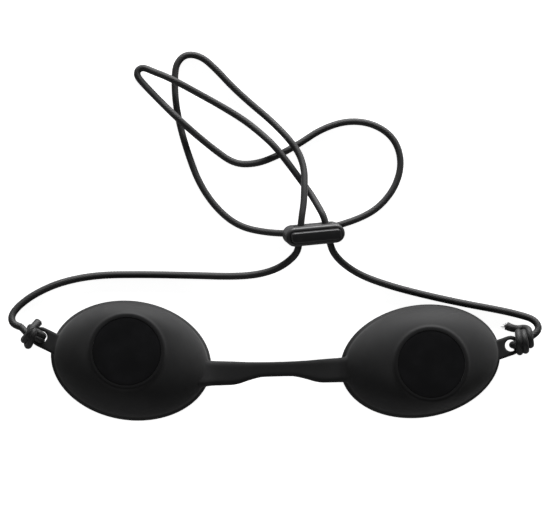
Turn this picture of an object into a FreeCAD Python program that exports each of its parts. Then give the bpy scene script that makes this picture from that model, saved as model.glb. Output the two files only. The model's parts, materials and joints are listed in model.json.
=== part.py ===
import FreeCAD, Part
import math
import os

from collections import namedtuple
from FreeCAD import Vector

# Tanning goggles lying rims down on a table, in millimetres. +X runs along the strap to the right cup, +Y towards
# the side of the cord, +Z up. The origin is on the table under the middle of the strap.

# Eye cups: an oval outline, its outer end raised, on a low dome that ends in a round bezel. The dome's profile is
# a share of a quarter ellipse, so that it still slopes where it meets the bezel
DOME_HEIGHT = 12.9
DOME_ARC = 0.62
DOME_TOP_RADIUS = 12.25
WALL = 1.5
RIM_WIDTH = 1.9

# Rolled rim: height above the table and how far inside the outline its skin runs
RIM_PROFILE = ((0.0, 0.45), (0.55, 0.08), (1.1, 0.0), (1.7, 0.25), (2.4, 0.75))

# Round bezel and lens
BEZEL_X = 47.8
BEZEL_RADIUS = 12.3
BEZEL_TOP = 13.4
BEZEL_ROUND = 0.9
BEZEL_BOTTOM = 10.2
LENS_RADIUS = 10.6
LENS_FLANGE_RADIUS = 11.3
LENS_FLANGE_BOTTOM = 10.95
LENS_FLANGE_TOP = 11.95
LENS_EDGE_TOP = 13.3
LENS_CROWN = 0.2
LENS_FIT = 0.05

# Cord tab at the outer tip of each cup
TAB_HOLE_RADIUS = 1.9
TAB_END_RADIUS = 3.15
TAB_LENGTH = 8.5
TAB_BOTTOM = 2.5
TAB_THICKNESS = 1.8
TAB_ROUND = 0.4

# Strap between the cups, with the nose arch in its lower edge
STRAP_HALF_LENGTH = 25.0
STRAP_SPLIT_X = 18.0
STRAP_TOP_Y = 0.25
STRAP_TOP_SAG = 1.0
STRAP_SLOPE = 0.03
STRAP_LOW_Y = -7.8
STRAP_ARCH_Y = -5.5
STRAP_ARCH_HALF = 5.0
STRAP_ARCH_FOOT = 14.0
STRAP_BOTTOM_Z = 2.2
STRAP_THICKNESS = 2.3
STRAP_ROUND = 0.6
STRAP_GAP = 0.05

# Both cups are one moulding, but the strap is a little twisted as they lie, so each has its own turn and lean. Both
# are given as on the right side: the outline's middle, halves and tilt, how far the lens seat leans in Y, the tab's
# hole and the way that it points, and the strap's slope
Cup = namedtuple("Cup", "middle half_length half_width tilt lean tab_hole tab_angle strap_slope")
LEFT_CUP = Cup((46.2, -0.45), 25.5, 18.9, 8.3, 1.8, (74.6, 6.7), 26.0, -STRAP_SLOPE)
RIGHT_CUP = Cup((46.1, -0.3), 26.0, 18.0, 9.6, -1.8, (74.9, 4.7), 19.0, STRAP_SLOPE)

# Head cord
CORD_DIAMETER = 2.1
CORD_RADIUS = CORD_DIAMETER / 2
LIES = CORD_RADIUS
ARC_SHARE = 0.45

# Cord lock, stood on a strand of the cord and leaning back
LOCK_FOOT = (10.9, 40.7, 2.45)
LOCK_YAW = 6.0
LOCK_LEAN = 11.0
LOCK_LENGTH = 18.8
LOCK_DEPTH = 6.0
LOCK_HEIGHT = 12.5
LOCK_ROUND = 1.0
HOLE_SPACING = 8.8
HOLE_RADIUS = 1.9
HOLE_HEIGHT = 6.5
CAVITY_FLOOR = 1.3
CAVITY_LENGTH = 15.8
CAVITY_DEPTH = 3.5
LEDGE_HEIGHT = 5.25
LEDGE_CAVITY_LENGTH = 16.4

# Plunger and its spring, at rest
PLUNGER_LENGTH = 15.5
PLUNGER_DEPTH = 3.2
PLUNGER_BOTTOM = 4.2
PLUNGER_TOP = 15.7
PLUNGER_FOOT_LENGTH = 16.1
PLUNGER_FOOT_TOP = 5.2
PLUNGER_CORNER = 0.9
PLUNGER_BEVEL = 0.35
SLOT_BOTTOM = 5.98
SLOT_TOP = 11.1
SLOT_WIDTH = 3.9
SPRING_NOTCH_WIDTH = 3.3
SPRING_NOTCH_TOP = 10.4
SPRING_RADIUS = 1.32
SPRING_WIRE = 0.4
SPRING_TURNS = 7

# Where the two strands pass through the lock
LEFT_PASS = (6.7, 38.9, 9.42)
RIGHT_PASS = (15.5, 39.8, 9.42)

# The cord's route: its points in order, from the left knot to the right knot
LEFT_ROUTE = (
    (-80.9, 9.8, 3.7), (-83.0, 10.4, 3.3), (-84.0, 12.1, 2.6), (-83.7, 14.2, 1.8), (-81.2, 17.2, 1.2),
    (-76.4, 20.7, LIES), (-68.6, 24.3, LIES), (-57.5, 26.6, LIES), (-43.0, 26.9, LIES), (-27.0, 26.7, LIES),
    (-13.5, 26.4, LIES), (-5.3, 27.2, 1.2), (0.6, 29.1, 2.6), (4.9, 32.2, 5.4), (6.46, 34.9, 8.64), LEFT_PASS,
)
LOOP_ROUTE = (
    LEFT_PASS, (7.0, 43.9, 10.4), (7.9, 49.0, 9.6), (8.2, 54.5, 8.6), (8.4, 60.0, 7.0), (6.9, 65.8, 5.4),
    (2.9, 71.2, 4.8), (-2.3, 77.0, 2.0), (-8.3, 82.2, LIES), (-14.3, 87.6, LIES), (-19.5, 93.2, LIES),
    (-24.2, 97.4, LIES), (-29.2, 98.2, LIES), (-32.4, 95.1, LIES), (-32.9, 90.0, LIES), (-32.6, 83.0, LIES),
    (-31.2, 75.0, LIES), (-28.4, 65.5, LIES), (-24.8, 56.0, LIES), (-19.1, 47.9, LIES), (-12.2, 42.5, LIES),
    (-3.5, 40.6, LIES), (6.0, 40.3, LIES), (17.0, 42.2, LIES), (27.8, 45.8, LIES), (33.9, 49.9, LIES),
    (38.8, 56.6, LIES), (40.5, 64.5, LIES), (38.0, 71.8, LIES), (31.4, 76.3, LIES), (23.0, 77.2, LIES),
    (14.5, 74.4, LIES), (7.1, 69.3, LIES), (0.3, 65.5, LIES), (-6.5, 62.7, LIES), (-13.6, 62.6, LIES),
    (-20.1, 67.2, LIES), (-25.4, 71.2, 2.6), (-29.8, 74.6, 4.8), (-34.0, 78.5, 4.8), (-38.3, 83.2, 2.6),
    (-42.5, 87.8, LIES), (-45.0, 90.7, LIES), (-44.8, 92.7, LIES), (-43.0, 93.6, 1.3), (-39.6, 91.9, 2.6),
    (-35.6, 90.0, 4.8), (-30.4, 87.4, 4.8), (-24.1, 84.5, 2.2), (-16.9, 80.8, LIES), (-9.8, 76.4, LIES),
    (-4.8, 72.0, 2.6), (-1.5, 68.6, 4.6), (2.6, 63.6, 4.8), (6.8, 57.9, 4.8), (10.5, 52.5, 6.2),
    (12.8, 47.9, 8.8), (14.5, 44.3, 10.3), RIGHT_PASS,
)
RIGHT_ROUTE = (
    RIGHT_PASS, (16.5, 35.3, 8.54), (18.7, 32.4, 6.0), (22.3, 29.7, 3.0), (27.4, 26.9, 1.3), (35.6, 24.0, LIES),
    (45.9, 21.3, LIES), (59.4, 18.4, LIES), (72.5, 16.1, LIES), (79.2, 14.5, 1.3), (82.7, 13.2, 2.0),
    (84.3, 10.9, 2.9), (83.4, 8.7, 3.5), (81.4, 7.6, 3.8),
)

# Knots: the ring through the tab's hole, two lumps of wraps and the tail, from the hole outwards along the tab
KNOT_CORD_RADIUS = 1.0
RING_RADIUS = 2.2
RING_CENTRE_OUT = 2.52
KNOT_LUMPS = ((3.65, -2.7, 3.9, 2.2), (4.3, -0.05, 3.9, 2.1))
KNOT_TAIL = ((4.3, 0.7, 4.2), (2.0, 4.7, 2.6))
KNOT_STUB_LENGTH = 2.4
KNOT_CLEARANCE = 0.05

UP = Vector(0, 0, 1)


def vec(point):
    """A FreeCAD vector from a tuple."""
    return Vector(*point)


def box(low, high):
    """A block between two corners."""
    size = [h - l for l, h in zip(low, high)]
    return Part.makeBox(*size, Vector(*low))


def ellipse_wire(cup, centre, half_length, half_width, height):
    """The cup's oval outline at a height, its outer end raised by the cup's tilt."""
    turn = math.radians(cup.tilt)
    along = Vector(math.cos(turn), math.sin(turn), 0)
    across = Vector(-math.sin(turn), math.cos(turn), 0)
    middle = Vector(centre[0], centre[1], height)
    curve = Part.Ellipse(middle + along * half_length, middle + across * half_width, middle)
    return Part.Wire(curve.toShape())


def dome_sections(cup, inset, drop):
    """Outlines of the dome from the rolled rim to the bezel, moved inwards and down for the inner skin."""
    first_height, first_inset = RIM_PROFILE[-1]
    full_rise = math.sqrt(1 - (1 - DOME_ARC) ** 2)
    sections = []
    for share in (0.06, 0.18, 0.34, 0.52, 0.70, 0.86, 1.0):
        rise = math.sqrt(1 - (1 - DOME_ARC * share) ** 2) / full_rise
        height = first_height + (DOME_HEIGHT - first_height) * rise - drop
        half_length = cup.half_length - first_inset
        half_width = cup.half_width - first_inset
        half_length += (DOME_TOP_RADIUS - half_length) * share - inset
        half_width += (DOME_TOP_RADIUS - half_width) * share - inset
        middle_x, middle_y = cup.middle
        centre = (middle_x + (BEZEL_X - middle_x) * share, middle_y + (cup.lean - middle_y) * share)
        if height > first_height - 0.6:
            sections.append(ellipse_wire(cup, centre, half_length, half_width, height))
    return sections


def outer_skin(cup):
    """The outside of the rolled rim and the dome as one closed solid."""
    sections = []
    for height, inset in RIM_PROFILE:
        half_length, half_width = cup.half_length - inset, cup.half_width - inset
        sections.append(ellipse_wire(cup, cup.middle, half_length, half_width, height))
    return Part.makeLoft(sections + dome_sections(cup, 0.0, 0.0), True)


def hollow(cup):
    """The space inside the cup, a little past the table side of its rim."""
    low = []
    for height in (-0.5, 0.8, 2.0):
        half_length, half_width = cup.half_length - RIM_WIDTH, cup.half_width - RIM_WIDTH
        low.append(ellipse_wire(cup, cup.middle, half_length, half_width, height))
    return Part.makeLoft(low + dome_sections(cup, WALL, WALL)[1:], True)


def bezel(cup):
    """The round raised seat of the lens, with its soft shoulder."""
    middle = Vector(BEZEL_X, cup.lean, BEZEL_BOTTOM)
    ring = Part.makeCylinder(BEZEL_RADIUS, BEZEL_TOP - BEZEL_BOTTOM, middle)
    top_edges = [e for e in ring.Edges if e.BoundBox.ZMin > BEZEL_TOP - 0.01]
    return ring.makeFillet(BEZEL_ROUND, top_edges)


def lens_groove(cup):
    """What the bezel gives way to: the lens's opening and the groove of its flange."""
    middle = Vector(BEZEL_X, cup.lean, 0)
    opening = Part.makeCylinder(LENS_RADIUS + LENS_FIT, BEZEL_TOP + 2, middle)
    low, high = LENS_FLANGE_BOTTOM - LENS_FIT, LENS_FLANGE_TOP + LENS_FIT
    groove = Part.makeCylinder(LENS_FLANGE_RADIUS + LENS_FIT, high - low, middle + UP * low)
    return opening.fuse(groove)


def lens(cup):
    """The round lens: a disc with a slightly crowned face and a flange for the groove."""
    foot = Vector(BEZEL_X, cup.lean, LENS_FLANGE_BOTTOM)
    disc = Part.makeCylinder(LENS_RADIUS, LENS_EDGE_TOP + LENS_CROWN - LENS_FLANGE_BOTTOM, foot)
    ball_radius = (LENS_RADIUS ** 2 + LENS_CROWN ** 2) / (2 * LENS_CROWN)
    ball = Part.makeSphere(ball_radius, Vector(BEZEL_X, cup.lean, LENS_EDGE_TOP + LENS_CROWN - ball_radius))
    flange = Part.makeCylinder(LENS_FLANGE_RADIUS, LENS_FLANGE_TOP - LENS_FLANGE_BOTTOM, foot)
    return disc.common(ball).fuse(flange).removeSplitter()


def place_on_tab(shape, cup):
    """Moves a shape made about the origin, outwards along +X, to the cup's tab hole."""
    shape.rotate(Vector(0, 0, 0), UP, cup.tab_angle)
    shape.translate(Vector(cup.tab_hole[0], cup.tab_hole[1], 0))
    return shape


def tab(grow=0.0):
    """A cord tab without its hole, about the origin: a flat tongue with a round end."""
    radius, low = TAB_END_RADIUS + grow, TAB_BOTTOM - grow
    start_a, start_b = Vector(0, radius, low), Vector(0, -radius, low)
    back_a, back_b = Vector(-TAB_LENGTH, radius, low), Vector(-TAB_LENGTH, -radius, low)
    edges = [
        Part.Arc(start_b, Vector(radius, 0, low), start_a).toShape(),
        Part.LineSegment(start_a, back_a).toShape(),
        Part.LineSegment(back_a, back_b).toShape(),
        Part.LineSegment(back_b, start_b).toShape(),
    ]
    tongue = Part.Face(Part.Wire(edges)).extrude(UP * (TAB_THICKNESS + 2 * grow))
    if grow:
        return tongue
    rim = [e for e in tongue.Edges if e.BoundBox.ZLength < 0.01]
    return tongue.makeFillet(TAB_ROUND, rim)


def tab_hole(shrink=0.0):
    """The hole through a tab, about the origin."""
    return Part.makeCylinder(TAB_HOLE_RADIUS - shrink, TAB_THICKNESS + 2, Vector(0, 0, TAB_BOTTOM - 1))


def strap(x_low, x_high, slope):
    """The strap between two places along X: nearly straight above, arched over the nose below."""
    edges = []

    def at(x, y):
        return Vector(x, y + slope * x, STRAP_BOTTOM_Z)

    def line(*ends):
        edges.append(Part.LineSegment(*[at(x, y) for x, y in ends]).toShape())

    def curve(*poles):
        bezier = Part.BezierCurve()
        bezier.setPoles([at(x, y) for x, y in poles])
        edges.append(bezier.toShape())

    end, foot, arch = STRAP_HALF_LENGTH, STRAP_ARCH_FOOT, STRAP_ARCH_HALF
    top_y, foot_y, arch_y = STRAP_TOP_Y, STRAP_LOW_Y, STRAP_ARCH_Y
    bend = (foot + arch) / 2
    edges.append(Part.Arc(at(-end, top_y), at(0, top_y - STRAP_TOP_SAG), at(end, top_y)).toShape())
    line((end, top_y), (end, foot_y))
    line((end, foot_y), (foot, foot_y))
    curve((foot, foot_y), (bend, foot_y), (bend, arch_y), (arch, arch_y))
    line((arch, arch_y), (-arch, arch_y))
    curve((-arch, arch_y), (-bend, arch_y), (-bend, foot_y), (-foot, foot_y))
    line((-foot, foot_y), (-end, foot_y))
    line((-end, foot_y), (-end, top_y))
    band = Part.Face(Part.Wire(edges)).extrude(UP * STRAP_THICKNESS)
    long_edges = [e for e in band.Edges if e.BoundBox.ZLength < 0.01 and e.BoundBox.XLength > 1]
    band = band.makeFillet(STRAP_ROUND, long_edges)
    return band.common(box((x_low, -20, 0), (x_high, 20, 10)))


def eye_cup(cup):
    """An eye cup on the right side: rim, dome, bezel, tab and the root of the strap as one soft moulding."""
    root = strap(STRAP_SPLIT_X, STRAP_HALF_LENGTH, cup.strap_slope)
    body = outer_skin(cup).fuse([place_on_tab(tab(), cup), root]).cut(hollow(cup))
    body = body.fuse(bezel(cup)).cut([lens_groove(cup), place_on_tab(tab_hole(), cup)])
    return body.removeSplitter()


def mirrored(shape):
    """The left-hand twin of a right-hand piece."""
    return shape.mirror(Vector(0, 0, 0), Vector(1, 0, 0))


def arc_middle(start, tangent, end):
    """The middle point of the circular arc that leaves start along tangent and reaches end."""
    chord = end - start
    unit = Vector(chord).normalize()
    angle = math.acos(max(-1.0, min(1.0, tangent.dot(unit))))
    side = tangent - unit * tangent.dot(unit)
    side.normalize()
    return (start + end) * 0.5 + side * (chord.Length / 2 * math.tan(angle / 2))


def rounded_path(route, name):
    """Straight runs joined by tangent arcs as large as the runs allow, with the arcs' radii."""
    points = [vec(p) for p in route]
    edges, radii, at = [], [], points[0]
    for before, corner, after in zip(points, points[1:], points[2:]):
        run_in, run_out = corner - before, after - corner
        shorter = min(run_in.Length, run_out.Length)
        run_in.normalize()
        run_out.normalize()
        turn = math.acos(max(-1.0, min(1.0, run_in.dot(run_out))))
        back_off = ARC_SHARE * shorter
        radii.append(back_off / math.tan(turn / 2))
        begin, finish = corner - run_in * back_off, corner + run_out * back_off
        edges.append(Part.LineSegment(at, begin).toShape())
        edges.append(Part.Arc(begin, arc_middle(begin, run_in, finish), finish).toShape())
        at = finish
    edges.append(Part.LineSegment(at, points[-1]).toShape())
    print(name, "arc radii", " ".join(f"{r:.1f}" for r in radii))
    return Part.Wire(edges)


def tube(route, name):
    """The cord as a round tube along a route."""
    path = rounded_path(route, name)
    start = vec(route[0])
    heading = vec(route[1]) - start
    section = Part.Wire(Part.Circle(start, heading, CORD_RADIUS).toShape())
    solid = path.makePipeShell([section], True, False)
    expected = math.pi * CORD_RADIUS ** 2 * path.Length
    print(name, f"length {path.Length:.1f}, volume {solid.Volume:.1f}, section times length {expected:.1f}")
    return solid


def knot(cup):
    """A cord end on a right-hand tab: ring through the hole, lumps of the knot and tail, clear of the tab."""
    ring_middle = Vector(RING_CENTRE_OUT, 0, TAB_BOTTOM + TAB_THICKNESS / 2)
    ring = Part.makeTorus(RING_RADIUS, KNOT_CORD_RADIUS, ring_middle, Vector(0, 1, 0))
    lumps = [Part.makeSphere(r, Vector(x, y, z)) for x, y, z, r in KNOT_LUMPS]
    tail_start, tail_end = vec(KNOT_TAIL[0]), vec(KNOT_TAIL[1])
    reach = tail_end - tail_start
    tail = Part.makeCylinder(KNOT_CORD_RADIUS, reach.Length, tail_start, reach)
    body = ring.fuse(lumps + [tail])
    body = body.cut(tab(KNOT_CLEARANCE).cut(tab_hole(KNOT_CLEARANCE)))
    return place_on_tab(body, cup)


def with_stub(body, cord_end, cord_next):
    """A knot with the first bit of the cord that leaves it, which ends face to face with the cord's own node."""
    end, heading = vec(cord_end), vec(cord_end) - vec(cord_next)
    heading.normalize()
    stub = Part.makeCylinder(CORD_RADIUS, KNOT_STUB_LENGTH, end, heading)
    beyond = Part.makeCylinder(CORD_RADIUS + 1, 4, end, heading * -1)
    return body.cut(beyond).fuse(stub).removeSplitter()


def obround(length, depth, low, high):
    """An upright block with fully rounded ends, centred on the lock's own axis."""
    radius, reach = depth / 2, length / 2 - depth / 2
    left, right = Vector(-reach, 0, low), Vector(reach, 0, low)
    side = Vector(0, radius, 0)
    edges = [
        Part.LineSegment(left - side, right - side).toShape(),
        Part.Arc(right - side, right + Vector(radius, 0, 0), right + side).toShape(),
        Part.LineSegment(right + side, left + side).toShape(),
        Part.Arc(left + side, left - Vector(radius, 0, 0), left - side).toShape(),
    ]
    return Part.Face(Part.Wire(edges)).extrude(UP * (high - low))


def round_cornered(length, depth, low, high, corner):
    """An upright block with round corners, centred on the lock's own axis."""
    block = box((-length / 2, -depth / 2, low), (length / 2, depth / 2, high))
    upright = [e for e in block.Edges if e.BoundBox.ZLength > (high - low) / 2]
    return block.makeFillet(corner, upright)


def place_in_lock(shape):
    """Moves a piece from the lock's own upright frame to where the lock leans on the table."""
    shape.rotate(Vector(0, 0, 0), Vector(1, 0, 0), LOCK_LEAN)
    shape.rotate(Vector(0, 0, 0), UP, LOCK_YAW)
    shape.translate(vec(LOCK_FOOT))
    return shape


def lock_body():
    """The shell of the cord lock, with its cavity, the plunger's ledge and two cord holes."""
    shell = obround(LOCK_LENGTH, LOCK_DEPTH, 0, LOCK_HEIGHT)
    outline = [e for e in shell.Edges if e.BoundBox.ZLength < 0.01]
    shell = shell.makeFillet(LOCK_ROUND, outline)
    neck = round_cornered(CAVITY_LENGTH, CAVITY_DEPTH, CAVITY_FLOOR, LOCK_HEIGHT + 1, PLUNGER_CORNER)
    foot_room = round_cornered(LEDGE_CAVITY_LENGTH, CAVITY_DEPTH, CAVITY_FLOOR, LEDGE_HEIGHT, PLUNGER_CORNER)
    shell = shell.cut([neck, foot_room])
    for side in (-1, 1):
        start = Vector(side * HOLE_SPACING / 2, -LOCK_DEPTH, HOLE_HEIGHT)
        shell = shell.cut(Part.makeCylinder(HOLE_RADIUS, 2 * LOCK_DEPTH, start, Vector(0, 1, 0)))
    return place_in_lock(shell)


def lock_plunger():
    """The press button, with its retaining foot, the two cord slots and the spring's notch."""
    stem = round_cornered(PLUNGER_LENGTH, PLUNGER_DEPTH, PLUNGER_BOTTOM, PLUNGER_TOP, PLUNGER_CORNER)
    top_edges = [e for e in stem.Edges if e.BoundBox.ZMin > PLUNGER_TOP - 0.01]
    stem = stem.makeChamfer(PLUNGER_BEVEL, top_edges)
    foot = round_cornered(PLUNGER_FOOT_LENGTH, PLUNGER_DEPTH, PLUNGER_BOTTOM, PLUNGER_FOOT_TOP, PLUNGER_CORNER)
    piece = stem.fuse(foot)
    half_slot = SLOT_WIDTH / 2
    for side in (-1, 1):
        middle = side * HOLE_SPACING / 2
        low = (middle - half_slot, -PLUNGER_DEPTH, SLOT_BOTTOM)
        piece = piece.cut(box(low, (middle + half_slot, PLUNGER_DEPTH, SLOT_TOP)))
    half_notch = SPRING_NOTCH_WIDTH / 2
    notch = box((-half_notch, -PLUNGER_DEPTH, 0), (half_notch, PLUNGER_DEPTH, SPRING_NOTCH_TOP))
    return place_in_lock(piece.cut(notch).removeSplitter())


def biarc(start, heading, end, end_heading):
    """Two circular arcs that join two points and keep to the heading at each."""
    gap = end - start
    both = heading + end_heading
    spread = 2 * (1 - heading.dot(end_heading))
    along = gap.dot(both)
    reach = (-along + math.sqrt(along ** 2 + spread * gap.dot(gap))) / spread
    joint = (start + end + (heading - end_heading) * reach) * 0.5
    first = Part.Arc(start, arc_middle(start, heading, joint), joint).toShape()
    second = Part.Arc(joint, arc_middle(end, end_heading * -1, joint), end).toShape()
    return [first, second]


def lock_spring():
    """The coil spring under the plunger: an even helix of round wire."""
    low = CAVITY_FLOOR + SPRING_WIRE / 2 + 0.02
    high = SPRING_NOTCH_TOP - SPRING_WIRE / 2 - 0.02
    steps = SPRING_TURNS * 4
    climb = (high - low) / (SPRING_TURNS * 2 * math.pi)

    def at(step):
        turn = step * math.pi / 2
        point = Vector(SPRING_RADIUS * math.cos(turn), SPRING_RADIUS * math.sin(turn), low + climb * turn)
        heading = Vector(-SPRING_RADIUS * math.sin(turn), SPRING_RADIUS * math.cos(turn), climb)
        return point, heading.normalize()

    edges = []
    for step in range(steps):
        edges += biarc(*at(step), *at(step + 1))
    path = Part.Wire(edges)
    start, heading = at(0)
    section = Part.Wire(Part.Circle(start, heading, SPRING_WIRE / 2).toShape())
    coil = path.makePipeShell([section], True, False)
    print(f"spring gap between turns {2 * math.pi * climb - SPRING_WIRE:.2f}")
    return place_in_lock(coil)


def export(pieces):
    """Writes each piece to its own file, and prints its volume and whether it is one sound solid."""
    os.makedirs("parts", exist_ok=True)
    for name, shape in pieces.items():
        shape = shape.Solids[0] if len(shape.Solids) == 1 else shape
        print(f"{name}: {len(shape.Solids)} solid, {shape.Volume:.1f} mm3, valid {shape.isValid()}")
        shape.exportStep(f"parts/{name}.step")


def main():
    export({
        "left_eye_cup": mirrored(eye_cup(LEFT_CUP)),
        "right_eye_cup": eye_cup(RIGHT_CUP),
        "left_lens": mirrored(lens(LEFT_CUP)),
        "right_lens": lens(RIGHT_CUP),
        "nose_bridge": strap(-STRAP_SPLIT_X + STRAP_GAP, STRAP_SPLIT_X - STRAP_GAP, STRAP_SLOPE),
        "head_cord_left": tube(LEFT_ROUTE, "head_cord_left"),
        "cord_loop": tube(LOOP_ROUTE, "cord_loop"),
        "head_cord_right": tube(RIGHT_ROUTE, "head_cord_right"),
        "left_knot": with_stub(mirrored(knot(LEFT_CUP)), LEFT_ROUTE[0], LEFT_ROUTE[1]),
        "right_knot": with_stub(knot(RIGHT_CUP), RIGHT_ROUTE[-1], RIGHT_ROUTE[-2]),
        "lock_body": lock_body(),
        "lock_plunger": lock_plunger(),
        "lock_spring": lock_spring(),
    })


main()
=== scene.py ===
"""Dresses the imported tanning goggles: soft cups, dark lenses, their strap, the knotted cord and its lock."""

from __future__ import annotations

import json
import logging
import math
from contextlib import contextmanager
from dataclasses import dataclass
from enum import Enum
from typing import Callable, Iterator, Sequence

import bmesh
import bpy
import numpy as np
from mathutils import Matrix, Vector

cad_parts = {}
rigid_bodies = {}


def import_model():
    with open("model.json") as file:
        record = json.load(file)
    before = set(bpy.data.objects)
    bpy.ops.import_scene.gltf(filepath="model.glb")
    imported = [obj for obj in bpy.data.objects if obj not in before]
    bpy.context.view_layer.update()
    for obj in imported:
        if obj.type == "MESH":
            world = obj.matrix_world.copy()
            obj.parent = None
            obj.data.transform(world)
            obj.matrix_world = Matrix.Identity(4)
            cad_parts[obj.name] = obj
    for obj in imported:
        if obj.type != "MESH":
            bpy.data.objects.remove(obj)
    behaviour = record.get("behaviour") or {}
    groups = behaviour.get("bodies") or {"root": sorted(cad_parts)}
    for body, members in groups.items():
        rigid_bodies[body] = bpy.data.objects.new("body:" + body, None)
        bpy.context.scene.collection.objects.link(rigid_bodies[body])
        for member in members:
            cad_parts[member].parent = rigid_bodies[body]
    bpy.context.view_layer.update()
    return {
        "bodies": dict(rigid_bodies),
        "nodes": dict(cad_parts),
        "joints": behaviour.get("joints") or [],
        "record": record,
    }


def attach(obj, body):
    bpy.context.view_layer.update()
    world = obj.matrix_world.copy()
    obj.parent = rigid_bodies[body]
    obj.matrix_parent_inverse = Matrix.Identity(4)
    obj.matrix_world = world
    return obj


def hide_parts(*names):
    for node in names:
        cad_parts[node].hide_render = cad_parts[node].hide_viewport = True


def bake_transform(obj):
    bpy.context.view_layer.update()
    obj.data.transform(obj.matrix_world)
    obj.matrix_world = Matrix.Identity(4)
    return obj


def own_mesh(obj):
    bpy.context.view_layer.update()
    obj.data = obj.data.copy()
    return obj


LOG = logging.getLogger("goggles")
Point = tuple[float, float, float]

# Metres in a millimetre
MM = 0.001
# How near its height a level edge has to lie, in millimetres
CLOSE = 0.01


class Side(Enum):
    """The side of the object that a piece is on, as the sign of its X."""

    LEFT = -1
    RIGHT = 1

    @property
    def word(self) -> str:
        """The side's name in the part's node names."""
        return self.name.lower()


# Modelling


def new_object(name: str, data: bpy.types.ID) -> bpy.types.Object:
    """Adds an object to the scene.

    Args:
        name: Its name.
        data: Its mesh, curve, lamp or camera.

    Returns:
        The object.
    """
    added = bpy.data.objects.new(name, data)
    bpy.context.scene.collection.objects.link(added)
    return added


def select_only(obj: bpy.types.Object) -> None:
    """Makes an object the only selected one and the active one.

    Args:
        obj: The object.
    """
    bpy.ops.object.select_all(action="DESELECT")
    obj.select_set(True)
    bpy.context.view_layer.objects.active = obj


def smooth(obj: bpy.types.Object, angle: float) -> None:
    """Smooths an object's shading.

    Args:
        obj: The object.
        angle: The angle in degrees above which an edge stays sharp.
    """
    select_only(obj)
    bpy.ops.object.shade_smooth_by_angle(angle=math.radians(angle))


def coat(obj: bpy.types.Object, material: bpy.types.Material) -> None:
    """Gives an object one material, in place of any that it has.

    Args:
        obj: The object.
        material: The finish.
    """
    obj.data.materials.clear()
    obj.data.materials.append(material)


def level(*heights: float) -> Callable[[Vector, Vector], bool]:
    """A test for level edges at some heights.

    Args:
        heights: The heights.

    Returns:
        The test, which takes the places of an edge's two ends.
    """
    return lambda a, b: any(abs(a.z + b.z - 2 * height) < CLOSE for height in heights)


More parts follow.
